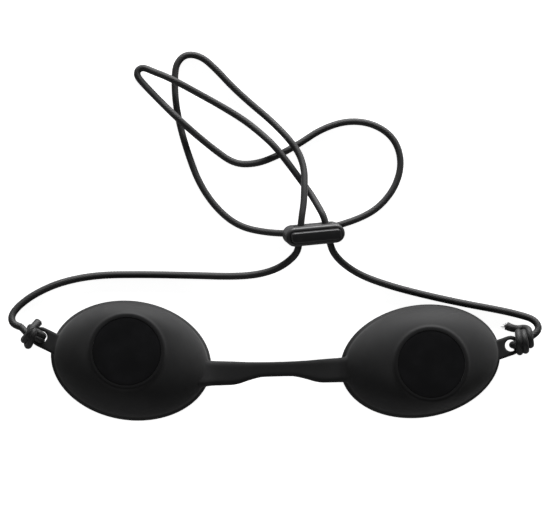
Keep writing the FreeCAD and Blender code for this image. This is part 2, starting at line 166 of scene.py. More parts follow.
class Workpiece:
    """A mesh piece on the bench, shaped with Blender's own operators, in millimetres until it is finished."""

    def __init__(self, name: str) -> None:
        """Takes the active object, which a primitive has just made, as the piece.

        Args:
            name: The piece's name.
        """
        self.obj = bpy.context.object
        self.obj.name = name
        self.obj.data.name = name
        bpy.ops.object.transform_apply(location=True, rotation=True, scale=True)

    @classmethod
    def primitive(cls, name: str, kind: str, **settings: object) -> "Workpiece":
        """Any of the mesh primitives, added with nothing else selected.

        Args:
            name: The piece's name.
            kind: The primitive's kind, such as cube.
            settings: What its operator takes.

        Returns:
            The new piece.
        """
        bpy.ops.object.select_all(action="DESELECT")
        getattr(bpy.ops.mesh, f"primitive_{kind}_add")(**settings)
        return cls(name)

    @classmethod
    def ring(cls, name: str, radius: float, sides: int, centre: Point) -> "Workpiece":
        """A bare circle of edges.

        Args:
            name: The piece's name.
            radius: The circle's radius.
            sides: How many edges it has.
            centre: Its middle.

        Returns:
            The new piece.
        """
        return cls.primitive(
            name, "circle", vertices=sides, radius=radius, fill_type="NOTHING", location=centre
        )

    @classmethod
    def cylinder(cls, name: str, radius: float, low: Point, height: float, sides: int = 64) -> "Workpiece":
        """An upright cylinder on a point.

        Args:
            name: The piece's name.
            radius: Its radius.
            low: The middle of its foot.
            height: Its height.
            sides: How many sides it has.

        Returns:
            The new piece.
        """
        middle = (low[0], low[1], low[2] + height / 2)
        turn = (0, 0, math.pi / sides)
        return cls.primitive(
            name, "cylinder", vertices=sides, radius=radius, depth=height, location=middle, rotation=turn
        )

    @classmethod
    def block(cls, name: str, low: Point, high: Point) -> "Workpiece":
        """A block between two corners.

        Args:
            name: The piece's name.
            low: Its lowest corner.
            high: Its highest corner.

        Returns:
            The new piece.
        """
        middle = [(a + b) / 2 for a, b in zip(low, high)]
        size = [b - a for a, b in zip(low, high)]
        return cls.primitive(name, "cube", size=1, location=middle, scale=size)

    @contextmanager
    def editing(self, kind: str = "VERT") -> Iterator[None]:
        """Edit mode on this piece alone.

        Args:
            kind: What selecting works on, VERT, EDGE or FACE.
        """
        select_only(self.obj)
        bpy.ops.object.mode_set(mode="EDIT")
        bpy.ops.mesh.select_mode(type=kind)
        yield
        bpy.ops.object.mode_set(mode="OBJECT")

    def select_vertices(self, test: Callable[[Vector], bool]) -> None:
        """Selects the vertices whose place passes a test.

        Args:
            test: Takes a vertex's place.
        """
        bpy.ops.mesh.select_all(action="DESELECT")
        mesh = bmesh.from_edit_mesh(self.obj.data)
        for vertex in mesh.verts:
            vertex.select_set(test(vertex.co))
        mesh.select_flush_mode()
        bmesh.update_edit_mesh(self.obj.data)

    def select_edges(self, test: Callable[[Vector, Vector], bool]) -> None:
        """Selects the edges whose two ends pass a test.

        Args:
            test: Takes the places of an edge's two ends.
        """
        bpy.ops.mesh.select_all(action="DESELECT")
        mesh = bmesh.from_edit_mesh(self.obj.data)
        for edge in mesh.edges:
            if test(edge.verts[0].co, edge.verts[1].co):
                edge.select_set(True)
        bmesh.update_edit_mesh(self.obj.data)

    @staticmethod
    def sweep(outlines: Sequence[tuple[Vector, Point]]) -> None:
        """Extrudes the selected outline, which is the first, through the others.

        Args:
            outlines: The middle of each and its size along the three axes.
        """
        centre, size = outlines[0]
        for following, grown in outlines[1:]:
            bpy.ops.mesh.extrude_region_move(TRANSFORM_OT_translate={"value": following - centre})
            growth = [new / old for new, old in zip(grown, size)]
            bpy.ops.transform.resize(value=growth, center_override=following)
            centre, size = following, grown

    def bevel_edges(self, test: Callable[[Vector, Vector], bool], width: float, segments: int) -> None:
        """Rounds the edges that pass a test.

        Args:
            test: Takes the places of an edge's two ends.
            width: How far the rounding reaches.
            segments: How many strips it has.
        """
        with self.editing("EDGE"):
            self.select_edges(test)
            bpy.ops.mesh.bevel(offset=width, segments=segments, profile=0.5, affect="EDGES")

    def modify(self, kind: str, **settings: object) -> None:
        """Adds a modifier and applies it.

        Args:
            kind: The modifier's type.
            settings: Its settings by name.
        """
        select_only(self.obj)
        modifier = self.obj.modifiers.new(kind.lower(), kind)
        for name, value in settings.items():
            setattr(modifier, name, value)
        bpy.ops.object.modifier_apply(modifier=modifier.name)

    def combine(self, other: "Workpiece", operation: str) -> None:
        """Joins another piece to this one or cuts it away, and uses the other up.

        Args:
            other: The tool piece.
            operation: UNION, DIFFERENCE or INTERSECT.
        """
        self.modify("BOOLEAN", object=other.obj, operation=operation, solver="EXACT")
        bpy.data.objects.remove(other.obj)

    def turn(self, angle: float, axis: str) -> None:
        """Turns the whole piece about the origin.

        Args:
            angle: The angle in degrees, by the right-hand rule.
            axis: X, Y or Z.
        """
        self.obj.data.transform(Matrix.Rotation(math.radians(angle), 4, axis))

    def move(self, by: Point) -> None:
        """Moves the whole piece.

        Args:
            by: How far.
        """
        self.obj.data.transform(Matrix.Translation(by))

    def mirror(self) -> None:
        """Makes the piece its left-hand twin, faces outwards."""
        self.obj.data.transform(Matrix.Diagonal((-1, 1, 1, 1)))
        self.outwards()

    def outwards(self) -> None:
        """Makes all faces point outwards."""
        with self.editing("FACE"):
            bpy.ops.mesh.select_all(action="SELECT")
            bpy.ops.mesh.remove_doubles(threshold=0.0001)
            bpy.ops.mesh.normals_make_consistent(inside=False)

    def twin(self, name: str) -> "Workpiece":
        """A copy with its own mesh.

        Args:
            name: The copy's name.

        Returns:
            The copy.
        """
        select_only(self.obj)
        bpy.ops.object.duplicate()
        return Workpiece(name)

    def keep_side(self, place: Point, direction: Point) -> None:
        """Cuts the piece by a plane, keeps what lies along the direction and closes the cut.

        Args:
            place: A point of the plane.
            direction: The way that points to what is kept.
        """
        with self.editing("FACE"):
            bpy.ops.mesh.select_all(action="SELECT")
            bpy.ops.mesh.bisect(plane_co=place, plane_no=direction, use_fill=True, clear_inner=True)

    def finish(self, material: bpy.types.Material, slot: str, angle: float = 40.0) -> bpy.types.Object:
        """Brings the piece to metres, smooths its shading and gives it its material.

        Args:
            material: The finish.
            slot: The record's material slot; not used.
            angle: The angle in degrees above which an edge stays sharp.

        Returns:
            The finished object.
        """
        self.obj.data.transform(Matrix.Scale(MM, 4))
        smooth(self.obj, angle)
        coat(self.obj, material)
        return self.obj


# Shaders


def worked_out(operation: str, swapped: bool = False) -> Callable:
    """Makes a method that works on a value with a Math node.

    Args:
        operation: What the node does.
        swapped: Whether the value comes last.

    Returns:
        The method.
    """

    def method(self: "Value", *others: "Value | float") -> "Value":
        """Adds the node on this value and others."""
        return self.graph.math(operation, *(others + (self,) if swapped else (self,) + others))

    return method


class Value:
    """A shader socket that can be added, multiplied and so on in Python expressions."""

    __add__ = __radd__ = worked_out("ADD")
    __sub__ = worked_out("SUBTRACT")
    __rsub__ = worked_out("SUBTRACT", swapped=True)
    __mul__ = __rmul__ = worked_out("MULTIPLY")
    __truediv__ = worked_out("DIVIDE")
    __pow__ = worked_out("POWER")
    floor = worked_out("FLOOR")
    sine = worked_out("SINE")
    cosine = worked_out("COSINE")
    larger = worked_out("MAXIMUM")

    def __init__(self, graph: "Graph", socket: bpy.types.NodeSocket) -> None:
        """Wraps an output socket of a graph."""
        self.graph = graph
        self.socket = socket

    def ramp(self, low: float, high: float) -> "Value":
        """0 below low, 1 above high, smooth between."""
        return self.graph.node(
            "ShaderNodeMapRange",
            {"interpolation_type": "SMOOTHSTEP"},
            {"Value": self, "From Min": low, "From Max": high},
        )


class Graph:
    """A node tree, built by expressions."""

    def __init__(self, tree: bpy.types.NodeTree) -> None:
        """Takes the tree to build in.

        Args:
            tree: The node tree.
        """
        self.tree = tree

    def link(self, value: object, socket: bpy.types.NodeSocket) -> None:
        """Feeds a socket with a wrapped value, or sets it to a number or colour.

        Args:
            value: The value.
            socket: The input socket.
        """
        if isinstance(value, Value):
            self.tree.links.new(value.socket, socket)
        else:
            socket.default_value = value

    def node(self, kind: str, settings: dict, inputs: dict, output: int | str = 0) -> Value:
        """Adds any node.

        Args:
            kind: The node's type.
            settings: Its own settings, which are set first.
            inputs: Its sockets' values or links, by name or number.
            output: The output that is wanted.

        Returns:
            The wrapped output.
        """
        node = self.tree.nodes.new(kind)
        for name, value in settings.items():
            setattr(node, name, value)
        for name, value in inputs.items():
            self.link(value, node.inputs[name])
        return Value(self, node.outputs[output])

    def math(self, operation: str, *values: Value | float) -> Value:
        """A Math node.

        Args:
            operation: What it does.
            values: Its inputs.

        Returns:
            Its result.
        """
        return self.node("ShaderNodeMath", {"operation": operation}, dict(enumerate(values)))

    def place(self) -> Value:
        """The point on the object, in metres."""
        return self.node("ShaderNodeTexCoord", {}, {}, "Object")

    def first_two(self, point: Value) -> tuple[Value, Value]:
        """The first two numbers of a point."""
        return tuple(self.node("ShaderNodeSeparateXYZ", {}, {0: point}, axis) for axis in ("X", "Y"))

    def along(self) -> tuple[Value, Value]:
        """The cord's own length and turn at the point, from its UV map."""
        return self.first_two(self.node("ShaderNodeUVMap", {"uv_map": "UVMap"}, {}))

    def noise(self, place: Value, size: float, detail: float = 3.0, roughness: float = 0.5) -> Value:
        """Noise between 0 and 1.

        Args:
            place: The point that it is read at.
            size: The size of its lumps in metres.
            detail: How many finer layers it has.
            roughness: How strong the finer layers are.

        Returns:
            The noise.
        """
        inputs = {"Vector": place, "Scale": 1 / size, "Detail": detail, "Roughness": roughness}
        return self.node("ShaderNodeTexNoise", {}, inputs)

    def blend_colours(self, share: Value | float, first: Point | Value, second: Point | Value) -> Value:
        """A colour between two.

        Args:
            share: How much of the second.
            first: The first colour.
            second: The second colour.

        Returns:
            The colour.
        """
        inputs = {0: share}
        for socket, colour in ((6, first), (7, second)):
            inputs[socket] = colour if isinstance(colour, Value) else (*colour, 1.0)
        return self.node("ShaderNodeMix", {"data_type": "RGBA"}, inputs, 2)

    def bump(self, height: Value, depth: float) -> Value:
        """A bumped normal.

        Args:
            height: The relief, 0 to 1.
            depth: How deep it is in metres.

        Returns:
            The normal.
        """
        return self.node("ShaderNodeBump", {}, {"Distance": depth, "Height": height})


class MaterialGraph(Graph):
    """The node tree of one material, with its main shader."""

    def __init__(self, name: str) -> None:
        """Starts a material with a Principled shader.

        Args:
            name: The material's name.
        """
        self.material = bpy.data.materials.new(name)
        self.material.use_nodes = True
        super().__init__(self.material.node_tree)
        self.shader = self.tree.nodes["Principled BSDF"]
        self.output = self.tree.nodes["Material Output"]

    def set(self, **inputs: object) -> None:
        """Sets or links sockets of the main shader.

        Args:
            inputs: Values by socket name, with _ for a space.
        """
        for name, value in inputs.items():
            self.link(value, self.shader.inputs[name.replace("_", " ")])


@dataclass(frozen=True)
class RubberFinish:
    """Soft black moulded rubber: matte, with bloom, grain, faint flow marks and a smoother seat, darkened with
    painted shade so that the seat's shoulder shows no sheen.
    """

    name: str
    seat: tuple[float, float] | None = None
    seat_edge: tuple[float, float] = (0.0113, 0.0126)
    seat_polish: float = 0.12
    dark: Point = (0.015, 0.015, 0.0155)
    light: Point = (0.022, 0.022, 0.0225)
    # Colour of the painted shade on the lens seat's shoulder
    deep: Point = (0.004, 0.004, 0.0045)
    roughness: float = 0.7
    gloss: float = 0.2
    bloom: float = 0.08
    bloom_roughness: float = 0.6
    cloud: float = 0.011
    cloud_play: float = 0.16
    grain: float = 0.00022
    grain_play: float = 0.1
    grain_depth: float = 0.000012

    def build(self) -> bpy.types.Material:
        """Makes the material."""
        graph = MaterialGraph(self.name)
        place = graph.place()
        cloud = graph.noise(place, self.cloud, 4.0)
        grain = graph.noise(place, self.grain, 2.0, 0.6)
        colour = graph.blend_colours(cloud.ramp(0.3, 0.72), self.dark, self.light)
        roughness = self.roughness + (cloud - 0.5) * self.cloud_play + (grain - 0.5) * self.grain_play
        # Painted shade: near the lens the colour goes over to the deep colour, which hides the sheen on the
        # seat's shoulder; the seat is also made smoother there.
        if self.seat:
            x, y = graph.first_two(place)
            away = ((x - self.seat[0]) ** 2 + (y - self.seat[1]) ** 2) ** 0.5
            body = away.ramp(*self.seat_edge)
            colour = graph.blend_colours(body, self.deep, colour)
            roughness = roughness - (1 - body) * self.seat_polish
        graph.set(
            Base_Color=colour,
            Roughness=roughness,
            Normal=graph.bump(grain, self.grain_depth),
            Specular_IOR_Level=self.gloss,
            Sheen_Weight=self.bloom,
            Sheen_Roughness=self.bloom_roughness,
        )
        return graph.material


@dataclass(frozen=True)
class LensFinish:
    """Near-black filter plastic: smooth, with faint wipe marks."""

    name: str
    colour: Point = (0.0035, 0.0035, 0.0042)
    lift: float = 1.8
    roughness: float = 0.34
    haze: float = 0.006
    haze_play: float = 0.2
    grain: float = 0.00035
    grain_depth: float = 0.000002
    refraction: float = 1.45

    def build(self) -> bpy.types.Material:
        """Makes the material."""
        graph = MaterialGraph(self.name)
        place = graph.place()
        haze = graph.noise(place, self.haze, 5.0, 0.6)
        grain = graph.noise(place, self.grain, 2.0)
        brighter = tuple(part * self.lift for part in self.colour)
        graph.set(
            Base_Color=graph.blend_colours(haze.ramp(0.4, 0.8), self.colour, brighter),
            Roughness=self.roughness + (haze - 0.5) * self.haze_play,
            Normal=graph.bump(grain, self.grain_depth),
            IOR=self.refraction,
        )
        return graph.material


@dataclass(frozen=True)
class Braid:
    """The plait of the cord's sleeve: strands each way round it and the length of one strand's step."""

    strands: int = 9
    step: float = 0.00095

    def height(
        self, length: object, turn: object, sine: Callable, cosine: Callable, floor: Callable, top: Callable
    ) -> object:
        """The sleeve's relief at a point, the same formula for numbers and for shader values.

        Args:
            length: The way along the cord in metres.
            turn: The way round it, 0 to 1.
            sine: Sine of an angle.
            cosine: Cosine of an angle.
            floor: The whole number below.
            top: The larger of two.

        Returns:
            The relief, 0 to 1.
        """
        first = turn * self.strands + length / self.step
        second = turn * self.strands - length / self.step
        over = cosine((floor(first) + floor(second)) * math.pi)
        ridge_a = sine((first - floor(first)) * math.pi)
        ridge_b = sine((second - floor(second)) * math.pi)
        lift_a = ridge_b * over * 0.5 + 0.5
        lift_b = ridge_a * over * -0.5 + 0.5
        return top(ridge_a * lift_a, ridge_b * lift_b)


@dataclass(frozen=True)
class CordFinish:
    """The elastic cord's braided sleeve: matte fibres, with painted shade in the gaps between the strands."""

    name: str
    # Colour of the painted shade in the gaps between the strands
    gap: Point = (0.006, 0.006, 0.0065)
    fibre: Point = (0.03, 0.03, 0.031)
    bloom: float = 0.25
    bloom_roughness: float = 0.35
    roughness: float = 0.62
    fuzz: float = 0.00018
    fuzz_play: float = 0.3
    wear: float = 0.009
    relief_depth: float = 0.00006
    braid: Braid = Braid()

    def build(self) -> bpy.types.Material:
        """Makes the material."""
        graph = MaterialGraph(self.name)
        length, turn = graph.along()
        relief = self.braid.height(length, turn, Value.sine, Value.cosine, Value.floor, Value.larger)
        place = graph.place()
        fuzz = graph.noise(place, self.fuzz, 2.0, 0.7)
        wear = graph.noise(place, self.wear, 3.0)
        # Painted shade in the braid's gaps, with its share varied by wear
        braid_shade_and_wear = relief.ramp(0.05, 0.8) * (0.72 + 0.4 * wear)
        graph.set(
            Base_Color=graph.blend_colours(braid_shade_and_wear, self.gap, self.fibre),
            Roughness=self.roughness + (fuzz - 0.5) * self.fuzz_play,
            Normal=graph.bump(relief * 0.8 + fuzz * 0.2, self.relief_depth),
            Sheen_Weight=self.bloom,
            Sheen_Roughness=self.bloom_roughness,
        )
        return graph.material


@dataclass(frozen=True)
class PlasticFinish:
    """Satin black moulded plastic with an even spark-eroded grain."""

    name: str
    colour: Point
    roughness: float
    rubbed: float = 0.0045
    rubbed_play: float = 0.2
    grain: float = 0.00016
    grain_play: float = 0.12
    grain_depth: float = 0.00001

    def build(self) -> bpy.types.Material:
        """Makes the material."""
        graph = MaterialGraph(self.name)
        place = graph.place()
        grain = graph.noise(place, self.grain, 2.0, 0.6)
        rubbed = graph.noise(place, self.rubbed, 4.0)
        worn = tuple(part * 1.35 + 0.002 for part in self.colour)
        graph.set(
            Base_Color=graph.blend_colours(rubbed.ramp(0.42, 0.75), self.colour, worn),
            Roughness=self.roughness + (rubbed - 0.5) * self.rubbed_play + (grain - 0.5) * self.grain_play,
            Normal=graph.bump(grain, self.grain_depth),
        )
        return graph.material


@dataclass(frozen=True)
class SteelFinish:
    """Drawn spring wire with fine lines along it."""

    name: str
    colour: Point = (0.5, 0.5, 0.52)
    roughness: float = 0.22
    streaks: float = 0.00012
    streaks_play: float = 0.2

    def build(self) -> bpy.types.Material:
        """Makes the material."""
        graph = MaterialGraph(self.name)
        place = graph.place()
        streaks = graph.noise(place, self.streaks, 3.0)
        dull = tuple(part * 0.7 for part in self.colour)
        graph.set(
            Base_Color=graph.blend_colours(streaks, dull, self.colour),
            Roughness=self.roughness + streaks * self.streaks_play,
            Metallic=1.0,
        )
        return graph.material


@dataclass(frozen=True)
class TableFinish:
    """White table top that stays white in the picture and still takes the object's shadow."""

    name: str
    shade: float = 0.85
    glow: float = 0.93
    mirrored_glow: float = 0.03

    def build(self) -> bpy.types.Material:
        """Makes the material."""
        graph = MaterialGraph(self.name)
        seen, glossy, through = (
            graph.node("ShaderNodeLightPath", {}, {}, kind)
            for kind in ("Is Camera Ray", "Is Glossy Ray", "Is Transmission Ray")
        )
        strength = seen * self.glow + glossy.larger(through) * self.mirrored_glow
        glow = graph.node("ShaderNodeEmission", {}, {"Strength": strength})
        matte = graph.node("ShaderNodeBsdfDiffuse", {}, {"Color": (self.shade, self.shade, self.shade, 1.0)})
        both = graph.node("ShaderNodeAddShader", {}, {0: glow, 1: matte})
        graph.link(both, graph.output.inputs["Surface"])
        return graph.material


# Cups and lenses


@dataclass(frozen=True)
class CupLie:
    """How one cup lies, given as on the right side, in millimetres and degrees."""

    side: Side
    middle: tuple[float, float]
    half_length: float
    half_width: float
    tilt: float
    lean: float
    tab_hole: tuple[float, float]
    tab_angle: float
    strap_slope: float


LEFT_CUP = CupLie(Side.LEFT, (46.2, -0.45), 25.5, 18.9, 8.3, 1.8, (74.6, 6.7), 26.0, -0.03)
RIGHT_CUP = CupLie(Side.RIGHT, (46.1, -0.3), 26.0, 18.0, 9.6, -1.8, (74.9, 4.7), 19.0, 0.03)


@dataclass
class EyeCup:
    """A soft cup with its rim, dome, lens seat, cord tab and its half of the strap, made in one mould."""

    lie: CupLie
    seat_x: float = 47.8
    dome_top: float = 12.9
    dome_arc: float = 0.62
    dome_shares: tuple[float, ...] = (0.03, 0.07, 0.12, 0.18, 0.25, 0.33, 0.42, 0.52, 0.63, 0.75, 0.87, 1.0)
    dome_radius: float = 12.25
    dome_foot: float = 2.8
    dome_inset: float = 1.05
    rim: tuple[tuple[float, float], ...] = (
        (0.0, 0.45), (0.25, 0.2), (0.6, 0.05), (1.1, 0.0),
        (1.6, 0.12), (2.0, 0.38), (2.35, 0.72), (2.6, 0.98),
    )
    seat_radius: float = 12.3
    seat_low: float = 10.2
    seat_top: float = 13.4
    seat_round: float = 0.9
    lens_radius: float = 10.65
    groove_radius: float = 11.35
    groove: tuple[float, float] = (10.9, 12.0)
    opening: tuple[float, float] = (9.0, 15.0)
    bore_sides: int = 160
    wall: float = 1.5
    hollow_inset: float = 1.2
    hollow_foot: tuple[float, ...] = (-1.0, 0.6, 1.4, 2.0)
    hollow_shoulder: float = 2.3
    rim_width: float = 1.9
    sides: int = 128
    voxel: float = 0.27
    tab_width: float = 6.3
    tab_length: float = 8.5
    tab_low: float = 2.5
    tab_high: float = 4.3
    tab_round: float = 0.45
    tab_hole_radius: float = 1.9
    tab_inner_end: float = 0.5
    smoothing: int = 7
    strap_cut: float = 18.0
    strap_round: float = 0.95
    strap_stations: tuple[tuple[float, float, float, float, float], ...] = (
        (-2.0, -0.8, -5.5, 2.2, 4.5), (0.0, -0.8, -5.5, 2.2, 4.5), (2.5, -0.8, -5.5, 2.2, 4.5),
        (5.0, -0.75, -5.55, 2.2, 4.5), (7.0, -0.7, -5.95, 2.2, 4.5), (9.5, -0.6, -6.65, 2.2, 4.5),
        (12.0, -0.45, -7.45, 2.2, 4.5), (14.0, -0.3, -7.8, 2.2, 4.5), (16.0, -0.2, -7.85, 2.2, 4.5),
        (18.0, -0.1, -7.85, 2.2, 4.5), (19.8, 0.0, -7.85, 2.2, 4.6), (21.2, 0.1, -7.9, 2.1, 5.0),
        (22.4, 0.3, -8.05, 2.0, 5.7), (23.6, 0.6, -8.3, 1.8, 6.5), (25.0, 0.8, -8.5, 1.6, 7.2),
    )

    def dome_rings(self, inset: float, drop: float) -> list[tuple[float, float, float, float]]:
        """The dome's outlines from rim to seat: height, half length, half width and share of the lean.

        Args:
            inset: How far inside the outer skin they run.
            drop: How far below it.

        Returns:
            The outlines.
        """
        full_rise = math.sqrt(1 - (1 - self.dome_arc) ** 2)
        foot = [half - self.dome_inset for half in (self.lie.half_length, self.lie.half_width)]
        rings = []
        for share in self.dome_shares:
            rise = math.sqrt(1 - (1 - self.dome_arc * share) ** 2) / full_rise
            height = self.dome_foot + (self.dome_top - self.dome_foot) * rise - drop
            long, wide = (half + (self.dome_radius - half) * share - inset for half in foot)
            rings.append((height, long, wide, share))
        return rings

    def low_rings(self, steps: Sequence[tuple[float, float]]) -> list[tuple[float, float, float, float]]:
        """Outlines below the dome, without lean.

        Args:
            steps: The height of each and how far inside the cup's outline it runs.

        Returns:
            The outlines, as the dome's are.
        """
        long, wide = self.lie.half_length, self.lie.half_width
        return [(height, long - inset, wide - inset, 0.0) for height, inset in steps]

    def loft(self, name: str, rings: Sequence[tuple[float, float, float, float]]) -> Workpiece:
        """A closed body drawn up through elliptical outlines, turned and placed as the cup lies.

        Args:
            name: The piece's name.
            rings: Height, half length, half width and share of the lean of each outline.

        Returns:
            The body.
        """
        middle_x, middle_y = self.lie.middle
        lean = Vector((self.seat_x - middle_x, self.lie.lean - middle_y, 0))
        lean.rotate(Matrix.Rotation(math.radians(-self.lie.tilt), 3, "Z"))
        outlines = [
            (Vector((lean.x * share, lean.y * share, height)), (long, wide, 1))
            for height, long, wide, share in rings
        ]
        foot, size = outlines[0]
        piece = Workpiece.ring(name, 1.0, self.sides, (0, 0, 0))
        with piece.editing("EDGE"):
            bpy.ops.mesh.select_all(action="SELECT")
            bpy.ops.transform.resize(value=size, center_override=(0, 0, 0))
            bpy.ops.transform.translate(value=foot)
            bpy.ops.mesh.edge_face_add()
            bpy.ops.mesh.select_mode(type="EDGE")
            piece.sweep(outlines)
        piece.outwards()
        piece.turn(self.lie.tilt, "Z")
        piece.move((middle_x, middle_y, 0))
        return piece

    def skin(self) -> Workpiece:
        """The cup's outside as a full body, from the table to the top of the dome."""
        return self.loft("skin", self.low_rings(self.rim) + self.dome_rings(0.0, 0.0))

    def seat(self) -> Workpiece:
        """The round raised seat of the lens, with its soft shoulder, still without its opening."""
        place = (self.seat_x, self.lie.lean, self.seat_low)
        piece = Workpiece.cylinder("seat", self.seat_radius, place, self.seat_top - self.seat_low, self.sides)
        piece.bevel_edges(level(self.seat_top), self.seat_round, 8)
        return piece

    def hollow(self) -> Workpiece:
        """The space inside the cup."""
        rings = self.low_rings([(height, self.rim_width) for height in self.hollow_foot])
        dome = self.dome_rings(self.hollow_inset, self.wall)
        return self.loft("hollow", rings + [ring for ring in dome if ring[0] > self.hollow_shoulder])

    def tab(self) -> Workpiece:
        """The cord tab with its hole, reaching into the cup."""
        height = self.tab_high - self.tab_low
        piece = Workpiece.cylinder("tab", self.tab_width / 2, (0, 0, self.tab_low), height)
        with piece.editing("VERT"):
            piece.select_vertices(lambda co: co.x < 0)
            bpy.ops.transform.resize(value=(0, 1, 1), center_override=(0, 0, 0))
            bpy.ops.transform.translate(value=(-self.tab_length, 0, 0))
        piece.outwards()
        free, flat = self.tab_inner_end - self.tab_length, level(self.tab_low, self.tab_high)
        piece.bevel_edges(lambda a, b: flat(a, b) and max(a.x, b.x) > free, self.tab_round, 3)
        hole = Workpiece.cylinder("hole", self.tab_hole_radius, (0, 0, 0), 2 * self.tab_high)
        piece.combine(hole, "DIFFERENCE")
        piece.turn(self.lie.tab_angle, "Z")
        piece.move((*self.lie.tab_hole, 0))
        return piece

    def strap(self) -> Workpiece:
        """The strap from past its middle to inside the dome, arched over the nose and flared at the cup."""
        outlines = [
            (Vector((x, (top + low) / 2, (under + over) / 2)), (1, top - low, over - under))
            for x, top, low, under, over in self.strap_stations
        ]
        place, size = outlines[0]
        piece = Workpiece.primitive("strap", "plane", size=1, rotation=(0, math.pi / 2, 0))
        with piece.editing("FACE"):
            bpy.ops.mesh.select_all(action="SELECT")
            bpy.ops.transform.resize(value=size, center_override=(0, 0, 0))
            bpy.ops.transform.translate(value=place)
            bpy.ops.mesh.bevel(offset=self.strap_round, segments=5, profile=0.5, affect="VERTICES")
            bpy.ops.mesh.select_all(action="SELECT")
            piece.sweep(outlines)
        piece.outwards()
        slope = Matrix.Identity(4)
        slope[1][0] = self.lie.strap_slope
        piece.obj.data.transform(slope)
        return piece

    def moulding(self) -> Workpiece:
        """The whole moulding on the right side, hollow, with soft edges and fillets."""
        body = self.skin()
        body.combine(self.strap(), "UNION")
        body.combine(self.tab(), "UNION")
        body.combine(self.hollow(), "DIFFERENCE")
        body.combine(self.seat(), "UNION")
        body.modify("REMESH", mode="VOXEL", voxel_size=self.voxel * 1)
        body.modify("SMOOTH", factor=0.5, iterations=self.smoothing)
        middle = (self.seat_x, self.lie.lean)
        bores = (("opening", self.lens_radius, self.opening), ("groove", self.groove_radius, self.groove))
        for name, radius, (low, high) in bores:
            bore = Workpiece.cylinder(name, radius, (*middle, low), high - low, self.bore_sides)
            body.combine(bore, "DIFFERENCE")
        return body

    def build(self, rubber: bpy.types.Material, band: bpy.types.Material) -> list[bpy.types.Object]:
        """Makes the cup and its half of the strap, and puts the cup on its body.

        Args:
            rubber: The cup's finish.
            band: The strap's finish.

        Returns:
            Both.
        """
        word = self.lie.side.word
        cup = self.moulding()
        half = cup.twin(f"strap_half_{word}")
        cup.obj.name = f"{word}_cup_moulding"
        cup.keep_side((self.strap_cut, 0, 0), (1, 0, 0))
        half.keep_side((self.strap_cut, 0, 0), (-1, 0, 0))
        half.keep_side((0, 0, 0), (1, 0, 0))
        if self.lie.side is Side.LEFT:
            cup.mirror()
            half.mirror()
        shell = cup.finish(rubber, "cup_rubber")
        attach(shell, f"{word}_cup")
        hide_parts(f"{word}_eye_cup")
        strip = half.finish(band, "strap_rubber")
        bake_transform(strip)
        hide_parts("nose_bridge")
        return [shell, strip]


@dataclass
class Lens:
    """A round dark lens with a softened edge, a gently crowned face and a flange in the seat's groove."""

    lie: CupLie
    seat_x: float = 47.8
    sides: int = 128
    profile: tuple[tuple[float, float], ...] = (
        (10.2, 10.95), (11.2, 10.95), (11.3, 11.05), (11.3, 11.85), (11.2, 11.95), (10.62, 11.95),
        (10.6, 12.1), (10.6, 13.2), (10.57, 13.26), (10.51, 13.3), (10.4, 13.32), (9.2, 13.37),
        (7.8, 13.41), (6.0, 13.45), (4.0, 13.48), (2.0, 13.495), (0.7, 13.5),
    )

    def build(self, dark: bpy.types.Material) -> bpy.types.Object:
        """Makes the lens and puts it on its cup.

        Args:
            dark: The lens's finish.

        Returns:
            The lens.
        """
        word = self.lie.side.word
        outlines = [
            (Vector((self.seat_x, self.lie.lean, height)), (radius, radius, 1))
            for radius, height in self.profile
        ]
        foot, size = outlines[0]
        piece = Workpiece.ring(f"{word}_lens_disc", size[0], self.sides, foot)
        with piece.editing("EDGE"):
            bpy.ops.mesh.select_all(action="SELECT")
            bpy.ops.mesh.edge_face_add()
            piece.sweep(outlines)
        piece.outwards()
        if self.lie.side is Side.LEFT:
            piece.mirror()
        disc = piece.finish(dark, "lens_dark", 35.0)
        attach(disc, f"{word}_cup")
        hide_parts(f"{word}_lens")
        return disc


# Cord and knots


